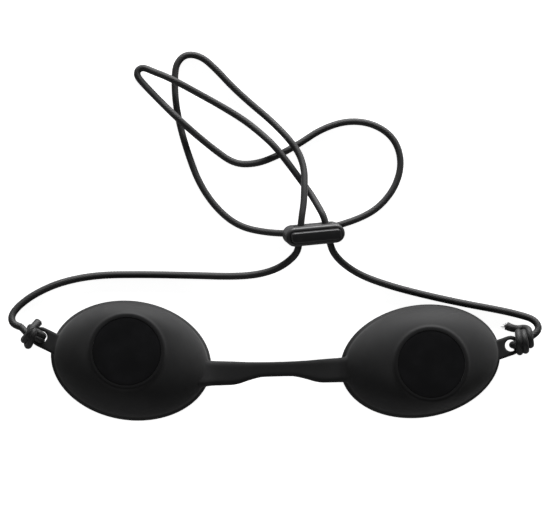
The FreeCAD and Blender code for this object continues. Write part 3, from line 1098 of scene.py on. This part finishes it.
class Cordage:
    """Makes round braided cord along a smooth line."""

    @staticmethod
    def line(name: str, points: Sequence[Point]) -> np.ndarray:
        """The smooth line that given points pull, read from a NURBS spline.

        Args:
            name: The name of the spline.
            points: Its control points, in metres.

        Returns:
            Points close together along it.
        """
        curve = bpy.data.curves.new(name, "CURVE")
        curve.dimensions = "3D"
        curve.resolution_u = 24
        spline = curve.splines.new("NURBS")
        spline.points.add(len(points) - 1)
        for control, point in zip(spline.points, points):
            control.co = (*point, 1.0)
        spline.order_u = 3
        spline.use_endpoint_u = True
        holder = new_object(name, curve)
        bpy.context.view_layer.update()
        mesh = bpy.data.meshes.new_from_object(holder)
        line = np.array([vertex.co for vertex in mesh.vertices])
        bpy.data.objects.remove(holder)
        bpy.data.meshes.remove(mesh)
        return line

    @staticmethod
    def evenly(line: np.ndarray, step: float) -> np.ndarray:
        """Points at even steps along a line.

        Args:
            line: The line's own points.
            step: The wanted distance between points.

        Returns:
            The even points.
        """
        lengths = np.r_[0, np.cumsum(np.linalg.norm(np.diff(line, axis=0), axis=1))]
        wanted = np.linspace(0, lengths[-1], max(2, round(lengths[-1] / step)) + 1)
        return np.stack([np.interp(wanted, lengths, line[:, axis]) for axis in range(3)], 1)

    @staticmethod
    def across(line: np.ndarray) -> tuple[np.ndarray, np.ndarray]:
        """Directions across a line that never twist round it.

        Args:
            line: Even points.

        Returns:
            Two crossing directions at each point.
        """
        heading = np.gradient(line, axis=0)
        heading /= np.linalg.norm(heading, axis=1, keepdims=True)
        across = np.cross(heading[0], (0, 0, 1.0))
        across /= np.linalg.norm(across)
        sideways = []
        for direction in heading:
            across = across - direction * across.dot(direction)
            across /= np.linalg.norm(across)
            sideways.append(across)
        first = np.array(sideways)
        return first, np.cross(heading, first)

    @classmethod
    def tube(
        cls,
        name: str,
        line: np.ndarray,
        radii: np.ndarray,
        braid: Braid,
        relief: float = 0.00004,
        step: float = 0.0002,
        sides: int = 36,
    ) -> bpy.types.Object:
        """A round cord with its braid as real relief and the way along and round it as its UV map.

        Args:
            name: The piece's name.
            line: The cord's middle line.
            radii: Its radius at each even share of the line.
            braid: The sleeve's plait.
            relief: How deep the plait is.
            step: The distance between its rings.
            sides: The points in a ring.

        Returns:
            The object, in place.
        """
        middle = cls.evenly(line, step * (1))
        first, second = cls.across(middle)
        count = len(middle)
        lengths = np.r_[0, np.cumsum(np.linalg.norm(np.diff(middle, axis=0), axis=1))]
        turns = np.arange(sides) / sides
        length_grid, turn_grid = np.meshgrid(lengths, turns, indexing="ij")
        height = braid.height(length_grid, turn_grid, np.sin, np.cos, np.floor, np.maximum)
        girth = np.interp(np.linspace(0, 1, count), np.linspace(0, 1, len(radii)), radii)
        reach = girth[:, None] - relief * (1 - height)
        angle = turn_grid * 2 * math.pi
        places = (
            middle[:, None, :]
            + first[:, None, :] * (reach * np.cos(angle))[:, :, None]
            + second[:, None, :] * (reach * np.sin(angle))[:, :, None]
        )
        ring = np.arange(count - 1)[:, None] * sides
        here, after = np.arange(sides), (np.arange(sides) + 1) % sides
        faces = np.stack([ring + here, ring + after, ring + sides + after, ring + sides + here], 2)
        caps = [list(range(sides))[::-1], list(range((count - 1) * sides, count * sides))]
        mesh = bpy.data.meshes.new(name)
        mesh.from_pydata(places.reshape(-1, 3).tolist(), [], faces.reshape(-1, 4).tolist() + caps)
        grid = np.zeros((count - 1, sides, 4, 2))
        grid[:, :, 0, 0] = grid[:, :, 1, 0] = lengths[:-1, None]
        grid[:, :, 2, 0] = grid[:, :, 3, 0] = lengths[1:, None]
        grid[:, :, 0, 1] = grid[:, :, 3, 1] = turns
        grid[:, :, 1, 1] = grid[:, :, 2, 1] = turns + 1 / sides
        flat = np.vstack([grid.reshape(-1, 2), np.zeros((2 * sides, 2))])
        mesh.uv_layers.new(name="UVMap").data.foreach_set("uv", flat.astype(np.float32).ravel())
        cord = new_object(name, mesh)
        smooth(cord, 60)
        return cord


def metres(points: Sequence[Point]) -> list[Point]:
    """Points in metres from points in millimetres."""
    return [tuple(value * MM for value in point) for point in points]


# Heights of the cord's middle line on the table, and where it passes through the lock, in millimetres
LIES = 1.1
SIDE_LIES = 1.15
LEFT_PASS = (6.7, 38.9, 9.42)
RIGHT_PASS = (15.5, 39.8, 9.42)


@dataclass
class HeadCord:
    """The elastic cord in three stretches: left knot to lock, loops beyond the lock, lock to right knot."""

    loop_radius: float = 1.1
    side_radius: float = 1.15
    left: tuple[Point, ...] = (
        (-80.9, 9.8, 3.7), (-83.0, 10.4, 3.3), (-84.0, 12.1, 2.6), (-83.7, 14.2, 1.8), (-81.2, 17.2, 1.2),
        (-76.4, 20.7, SIDE_LIES), (-68.6, 24.3, SIDE_LIES), (-57.5, 26.6, SIDE_LIES),
        (-43.0, 26.9, SIDE_LIES), (-27.0, 26.7, SIDE_LIES), (-13.5, 26.4, SIDE_LIES), (-5.3, 27.2, 1.2),
        (0.6, 29.1, 2.6), (4.9, 32.2, 5.4), (6.46, 34.9, 8.64), LEFT_PASS,
    )
    loop: tuple[Point, ...] = (
        LEFT_PASS, (7.0, 43.9, 10.4), (7.9, 49.0, 9.6), (8.2, 54.5, 8.6), (8.4, 60.0, 7.0), (6.9, 65.8, 5.4),
        (2.9, 71.2, 4.8), (-2.3, 77.0, 2.0), (-8.3, 82.2, LIES), (-14.3, 87.6, LIES), (-19.5, 93.2, LIES),
        (-24.2, 97.4, LIES), (-29.2, 98.2, LIES), (-32.4, 95.1, LIES), (-32.9, 90.0, LIES),
        (-32.6, 83.0, LIES), (-31.2, 75.0, LIES), (-28.4, 65.5, LIES), (-24.8, 56.0, LIES),
        (-19.1, 47.9, LIES), (-12.2, 42.5, LIES), (-3.5, 40.6, LIES), (6.0, 40.3, LIES), (17.0, 42.2, LIES),
        (27.8, 45.8, LIES), (33.9, 49.9, LIES), (38.8, 56.6, LIES), (40.5, 64.5, LIES), (38.0, 71.8, LIES),
        (31.4, 76.3, LIES), (23.0, 77.2, LIES), (14.5, 74.4, LIES), (7.1, 69.3, LIES), (0.3, 65.5, LIES),
        (-6.5, 62.7, LIES), (-13.6, 62.6, LIES), (-20.1, 67.2, LIES), (-25.4, 71.2, 2.6), (-29.8, 74.6, 4.8),
        (-34.0, 78.5, 4.8), (-38.3, 83.2, 2.6), (-42.5, 87.8, LIES), (-45.0, 90.7, LIES), (-44.8, 92.7, LIES),
        (-43.0, 93.6, 1.3), (-39.6, 91.9, 2.6), (-35.6, 90.0, 4.8), (-30.4, 87.4, 4.8), (-24.1, 84.5, 2.2),
        (-16.9, 80.8, LIES), (-9.8, 76.4, LIES), (-4.8, 72.0, 2.6), (-1.5, 68.6, 4.6), (2.6, 63.6, 4.8),
        (6.8, 57.9, 4.8), (10.5, 52.5, 6.2), (12.8, 47.9, 8.8), (14.5, 44.3, 10.3), RIGHT_PASS,
    )
    right: tuple[Point, ...] = (
        RIGHT_PASS, (16.5, 35.3, 8.54), (18.7, 32.4, 6.0), (22.3, 29.7, 3.0), (27.4, 26.9, 1.3),
        (35.6, 24.0, SIDE_LIES), (45.9, 21.3, SIDE_LIES), (59.4, 18.4, SIDE_LIES), (72.5, 16.1, SIDE_LIES),
        (79.2, 14.5, 1.3), (82.7, 13.2, 2.0), (84.3, 10.9, 2.9), (83.4, 8.7, 3.5), (81.4, 7.6, 3.8),
    )

    def stretch(
        self,
        name: str,
        node: str,
        route: Sequence[Point],
        radii: Sequence[float],
        sleeve: bpy.types.Material,
    ) -> bpy.types.Object:
        """Lays one stretch of the cord.

        Args:
            name: The piece's name.
            node: The CAD node that it replaces.
            route: Its listed points in millimetres.
            radii: Its radius at even shares of its length, in millimetres.
            sleeve: The braided finish.

        Returns:
            The cord's object.
        """
        line = Cordage.line(name, metres(route))
        cord = Cordage.tube(name, line, np.array(radii) * MM, Braid())
        coat(cord, sleeve)
        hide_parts(node)
        return cord

    def build(self, sleeve: bpy.types.Material, shaded_sleeve: bpy.types.Material) -> list[bpy.types.Object]:
        """Lays the three stretches and puts the loops on their body.

        Args:
            sleeve: The braided finish of the loops.
            shaded_sleeve: The finish of the two side stretches, a darker copy of the loops' finish with
                painted shade.

        Returns:
            The stretches.
        """
        wide, narrow = self.side_radius, self.loop_radius
        to_lock = (wide,) * 9 + (narrow,)
        left = self.stretch("cord_left_stretch", "head_cord_left", self.left, to_lock, shaded_sleeve)
        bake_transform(left)
        away = to_lock[::-1]
        right = self.stretch("cord_right_stretch", "head_cord_right", self.right, away, shaded_sleeve)
        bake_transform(right)
        loops = self.stretch("cord_loops", "cord_loop", self.loop, (narrow, narrow), sleeve)
        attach(loops, "bridge")
        return [left, right, loops]


@dataclass
class Knot:
    """The cord's end tied to a cup's tab: through the hole, round itself and out in a short frayed tail."""

    lie: CupLie
    radius: float = 1.1
    tail_radius: float = 1.35
    fibres: int = 22
    splay: float = 0.55
    fibre_reach: tuple[float, float] = (0.0009, 0.0019)
    fibre_radii: tuple[float, ...] = (0.00011, 0.00009, 0.00004)
    fibre_root: float = 0.0006
    fibre_scatter: float = 0.0005
    fibre_droop: float = 0.35
    left_path: tuple[Point, ...] = (
        (7.02, 0.02, 3.7), (5.9, -0.4, 4.2), (4.4, -1.0, 4.8), (2.8, -1.1, 5.2), (1.0, -1.0, 5.4),
        (-0.4, -0.9, 4.9), (-0.6, -0.75, 3.4), (-0.4, -0.6, 1.5), (1.0, -0.3, 1.1), (2.6, 0.1, 1.1),
        (3.9, 0.8, 1.6), (4.5, 1.2, 3.2), (3.9, 1.2, 5.0), (2.6, 0.9, 5.6), (1.0, 0.7, 5.5),
        (-0.3, 0.6, 4.9), (-0.5, 0.5, 3.4), (-0.3, 0.5, 1.5), (0.9, 0.8, 1.15), (2.6, 0.7, 1.15),
        (3.4, -0.8, 1.2), (3.5, -2.7, 1.6), (2.8, -4.2, 2.8), (2.2, -4.3, 4.6), (2.1, -2.9, 6.2),
        (2.4, -0.7, 7.2), (2.9, 1.1, 6.4), (3.4, 1.9, 4.0), (3.7, 0.1, 1.9), (4.3, -1.9, 1.6),
        (4.5, -3.3, 3.2), (4.0, -3.1, 5.2), (3.7, -1.3, 6.8), (3.6, 0.5, 6.8), (3.3, 1.9, 5.8),
        (3.0, 3.0, 4.8), (2.8, 3.7, 4.2),
    )
    right_path: tuple[Point, ...] = (
        (7.09, 0.63, 3.8), (6.0, 0.2, 4.2), (4.7, -0.5, 4.9), (3.2, -0.8, 5.3), (1.9, -0.3, 5.4),
        (0.8, 0.0, 4.9), (0.75, 0.1, 3.4), (0.9, 0.0, 1.5), (1.9, -0.6, 1.15), (2.3, -1.9, 1.2),
        (2.2, -2.9, 2.6), (2.0, -2.9, 4.6), (1.9, -1.5, 6.1), (2.1, 0.1, 7.0), (2.7, 1.8, 6.6),
        (3.4, 3.3, 5.0), (3.9, 3.3, 3.1), (4.0, 1.9, 1.4), (4.0, -0.2, 1.15), (4.1, -2.2, 1.6),
        (4.1, -3.2, 3.2), (3.9, -2.8, 5.3), (4.0, -1.0, 6.8), (4.3, 1.0, 6.8), (5.0, 2.6, 5.2),
        (5.5, 2.7, 3.2), (5.6, 1.2, 1.6), (5.9, -0.8, 1.7), (6.1, -2.0, 3.2), (6.0, -1.8, 5.1),
        (6.1, 0.0, 6.3), (6.6, 2.0, 5.9), (7.0, 3.2, 4.4), (6.1, 4.0, 2.9), (4.5, 4.2, 2.3), (3.1, 4.7, 2.9),
        (2.1, 5.3, 3.3), (1.4, 5.9, 3.2), (0.9, 6.4, 3.0),
    )

    def to_table(self, points: np.ndarray) -> np.ndarray:
        """Points in place from points about the tab's hole.

        Args:
            points: Points outwards along the tab, across it and up, in metres.

        Returns:
            Points in the object's frame.
        """
        turn = math.radians(self.lie.tab_angle)
        hole_x, hole_y = (value * MM for value in self.lie.tab_hole)
        x = hole_x + points[:, 0] * math.cos(turn) - points[:, 1] * math.sin(turn)
        y = hole_y + points[:, 0] * math.sin(turn) + points[:, 1] * math.cos(turn)
        return np.stack([x * self.lie.side.value, y, points[:, 2]], 1)

    def fray(self, end: np.ndarray, heading: np.ndarray) -> list[bpy.types.Object]:
        """Loose fibres that splay from the cut end of the tail.

        Args:
            end: The end of the tail.
            heading: The way that it points.

        Returns:
            The fibres.
        """
        chance = np.random.default_rng(7)
        fibres = []
        for number in range(self.fibres):
            spread = chance.normal(size=3) * self.splay
            way = heading + spread
            way /= np.linalg.norm(way)
            start = end - heading * self.fibre_root + spread * self.fibre_scatter
            reach = chance.uniform(*self.fibre_reach)
            droop = np.array([0, 0, -self.fibre_droop * reach])
            points = [start, start + way * reach * 0.5, start + way * reach + droop]
            line = Cordage.line("fibre", [tuple(point) for point in points])
            radii = np.array(self.fibre_radii)
            fibres.append(Cordage.tube(f"fibre_{number}", line, radii, Braid(), 0.0, 0.0003, 6))
        return fibres

    def build(self, sleeve: bpy.types.Material) -> bpy.types.Object:
        """Ties the knot and puts it on its cup.

        Args:
            sleeve: The braided finish.

        Returns:
            The knot.
        """
        word = self.lie.side.word
        path = self.left_path if self.lie.side is Side.LEFT else self.right_path
        line = self.to_table(Cordage.line("knot", metres(path)))
        radii = np.array((self.radius,) * 12 + (self.tail_radius,)) * MM
        strand = Cordage.tube(f"{word}_knot_wraps", line, radii, Braid(), step=0.00016)
        heading = line[-1] - line[-3]
        fibres = self.fray(line[-1], heading / np.linalg.norm(heading))
        select_only(strand)
        for fibre in fibres:
            fibre.select_set(True)
        bpy.ops.object.join()
        coat(strand, sleeve)
        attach(strand, f"{word}_cup")
        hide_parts(f"{word}_knot")
        return strand


# Cord lock


@dataclass
class CordLock:
    """The cord lock: an obround shell with two cord holes and a press button, leaning back on a strand."""

    foot: Point = (10.9, 40.7, 2.45)
    yaw: float = 6.0
    lean: float = 11.0
    length: float = 18.8
    depth: float = 6.0
    height: float = 12.5
    rounding: float = 1.0
    corner: float = 0.9
    edge: float = 0.16
    hole_spacing: float = 8.8
    hole_radius: float = 1.9
    hole_height: float = 6.5
    bore_reach: float = 8.0
    cavity_length: float = 15.8
    cavity_depth: float = 3.5
    cavity_floor: float = 1.3
    button_length: float = 15.5
    button_depth: float = 3.2
    button_low: float = 4.2
    button_top: float = 15.7
    button_round: float = 0.4
    button_travel: float = 2.8
    slot_half: float = 1.95
    slot_low: float = 5.98
    slot_high: float = 11.1
    notch_half: float = 1.65
    notch_top: float = 10.4
    spring_top: float = 10.4

    def dress_spring(self, spring: bpy.types.Object, wire: bpy.types.Material) -> None:
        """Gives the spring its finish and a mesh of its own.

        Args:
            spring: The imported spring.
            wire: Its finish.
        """
        coat(spring, wire)
        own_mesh(spring)

    def stand(self, piece: Workpiece) -> None:
        """Leans a piece back and puts it where the lock stands.

        Args:
            piece: A piece made upright on the origin.
        """
        piece.turn(self.lean, "X")
        piece.turn(self.yaw, "Z")
        piece.move(self.foot)

    def rounded_block(self, name: str, length: float, depth: float, low: float, high: float) -> Workpiece:
        """An upright block with round corners, centred on the lock.

        Args:
            name: The piece's name.
            length: Its length.
            depth: Its depth.
            low: The height of its foot.
            high: The height of its top.

        Returns:
            The block.
        """
        piece = Workpiece.block(name, (-length / 2, -depth / 2, low), (length / 2, depth / 2, high))
        piece.bevel_edges(lambda a, b: abs(a.z - b.z) > (high - low) / 2, self.corner, 6)
        return piece

    def shell(self) -> Workpiece:
        """The lock's body with its cavity and cord holes."""
        half = self.depth / 2
        piece = Workpiece.cylinder("lock_shell", half, (0, 0, 0), self.height, 72)
        reach = self.length / 2 - half
        with piece.editing("VERT"):
            for sign in (-1, 1):
                piece.select_vertices(lambda co: co.x * sign > 0)
                bpy.ops.transform.translate(value=(sign * reach, 0, 0))
        piece.bevel_edges(level(0, self.height), self.rounding, 6)
        size = (self.cavity_length, self.cavity_depth)
        piece.combine(self.rounded_block("cavity", *size, self.cavity_floor, self.height + 1), "DIFFERENCE")
        for sign in (-1, 1):
            bore = self.bore_reach
            hole = Workpiece.cylinder("hole", self.hole_radius, (0, 0, -bore), 2 * bore, 48)
            hole.turn(90, "X")
            hole.move((sign * self.hole_spacing / 2, 0, self.hole_height))
            piece.combine(hole, "DIFFERENCE")
        piece.modify("BEVEL", width=self.edge, segments=3, limit_method="ANGLE", angle_limit=math.radians(50))
        return piece

    def button(self) -> Workpiece:
        """The press button with its bevelled top and cord slots."""
        size = (self.button_length, self.button_depth)
        piece = self.rounded_block("lock_button", *size, self.button_low, self.button_top)
        side, slot = self.hole_spacing / 2, self.slot_half
        for name, middle, half, low, high in (
            ("slot", -side, slot, self.slot_low, self.slot_high),
            ("slot", side, slot, self.slot_low, self.slot_high),
            ("notch", 0, self.notch_half, 0, self.notch_top),
        ):
            reach = self.depth / 2
            gap = Workpiece.block(name, (middle - half, -reach, low), (middle + half, reach, high))
            piece.combine(gap, "DIFFERENCE")
        piece.bevel_edges(level(self.button_top), self.button_round, 3)
        return piece

    def build(
        self, body: bpy.types.Material, press: bpy.types.Material, frame: dict, wire: bpy.types.Material
    ) -> list[bpy.types.Object]:
        """Makes the lock and puts its pieces on their bodies.

        Args:
            body: The shell's finish.
            press: The button's finish.
            frame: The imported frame.
            wire: The spring's finish.

        Returns:
            The shell, the button and the spring.
        """
        shell, button = self.shell(), self.button()
        self.stand(shell)
        self.stand(button)
        shell_object = shell.finish(body, "lock_plastic", 35.0)
        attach(shell_object, "lock")
        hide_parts("lock_body")
        button_object = button.finish(press, "plunger_plastic", 35.0)
        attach(button_object, "plunger")
        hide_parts("lock_plunger")
        spring = frame["nodes"]["lock_spring"]
        self.dress_spring(spring, wire)
        return [shell_object, button_object, spring]


# Studio


@dataclass
class Studio:
    """The table, lamps and camera of the picture, in metres."""

    target: Point = (-0.00048, 0.0313, 0.0)
    distance: float = 0.7
    near: float = 0.01
    lean_x: float = 4.6
    lean_y: float = 5.5
    pixels_per_metre: float = 3125.0
    picture_width: float = 550.0
    sensor: float = 36.0
    surround: float = 0.08
    lamp_place: Point = (0.15, 1.0, 0.2)
    lamp_size: tuple[float, float] = (0.9, 0.4)
    lamp_power: float = 24.0
    fill_place: Point = (-0.25, -0.9, 0.4)
    fill_power: float = 1.6
    table_size: float = 6.0

    def camera(self) -> None:
        """Sets the camera nearly overhead, as the photograph has it."""
        lean_x, lean_y = (-math.tan(math.radians(angle)) for angle in (self.lean_x, self.lean_y))
        back = Vector((lean_x, lean_y, 1.0)).normalized()
        right = Vector((0, 1, 0)).cross(back).normalized()
        up = back.cross(right)
        data = bpy.data.cameras.new("camera")
        data.sensor_fit = "HORIZONTAL"
        data.sensor_width = self.sensor
        data.lens = self.distance * self.pixels_per_metre * self.sensor / self.picture_width
        data.clip_start = self.near
        camera = new_object("camera", data)
        turn = Matrix((right, up, back)).transposed().to_4x4()
        camera.matrix_world = Matrix.Translation(Vector(self.target) + back * self.distance) @ turn
        bpy.context.scene.camera = camera

    def lamp(self, name: str, place: Point, power: float) -> None:
        """Adds a soft lamp that faces the object.

        Args:
            name: The lamp's name.
            place: Where it stands.
            power: Its power in watts.
        """
        data = bpy.data.lights.new(name, "AREA")
        data.shape = "RECTANGLE"
        data.size, data.size_y = self.lamp_size
        data.energy = power
        lamp = new_object(name, data)
        lamp.location = place
        facing = Vector(self.target) - Vector(place)
        lamp.rotation_euler = facing.to_track_quat("-Z", "Y").to_euler()

    def world(self) -> None:
        """Sets a dim even surround that the camera sees as white."""
        world = bpy.data.worlds.new("surround")
        bpy.context.scene.world = world
        world.use_nodes = True
        background = world.node_tree.nodes["Background"]
        graph = Graph(world.node_tree)
        seen = graph.node("ShaderNodeLightPath", {}, {}, "Is Camera Ray")
        graph.link((1.0, 1.0, 1.0, 1.0), background.inputs["Color"])
        graph.link(seen * (1 - self.surround) + self.surround, background.inputs["Strength"])

    def build(self) -> None:
        """Sets up the whole studio."""
        bpy.context.scene.view_settings.view_transform = "Standard"
        self.camera()
        self.world()
        self.lamp("back_lamp", self.lamp_place, self.lamp_power)
        self.lamp("fill_lamp", self.fill_place, self.fill_power)
        table = Workpiece.primitive("table", "plane", size=self.table_size).obj
        coat(table, TableFinish("table_white").build())


def main() -> None:
    """Dresses the goggles piece by piece."""
    logging.basicConfig(level=logging.INFO, format="%(message)s")
    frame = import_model()
    Studio().build()
    sleeve = CordFinish("cord_sleeve").build()
    # A darker copy of the cord's finish: painted shade on the side stretches and the knots
    shaded_sleeve = CordFinish("cord_sleeve_dark", (0.003, 0.003, 0.0033), (0.017, 0.017, 0.0175), 0.12).build()
    pieces = HeadCord().build(sleeve, shaded_sleeve)
    band = RubberFinish("strap_rubber").build()
    dark = LensFinish("lens_dark").build()
    for lie in (LEFT_CUP, RIGHT_CUP):
        cup = EyeCup(lie)
        seat = (cup.seat_x * lie.side.value * MM, lie.lean * MM)
        pieces += cup.build(RubberFinish(f"cup_rubber_{lie.side.word}", seat).build(), band)
        pieces += [Lens(lie).build(dark), Knot(lie).build(shaded_sleeve)]
    body = PlasticFinish("lock_plastic", (0.03, 0.03, 0.031), 0.45).build()
    press = PlasticFinish("button_plastic", (0.022, 0.022, 0.023), 0.4).build()
    pieces += CordLock().build(body, press, frame, SteelFinish("spring_wire").build())
    for piece in pieces:
        LOG.info("%s: %d faces", piece.name, len(piece.data.polygons))


if __name__ == "__main__":
    main()
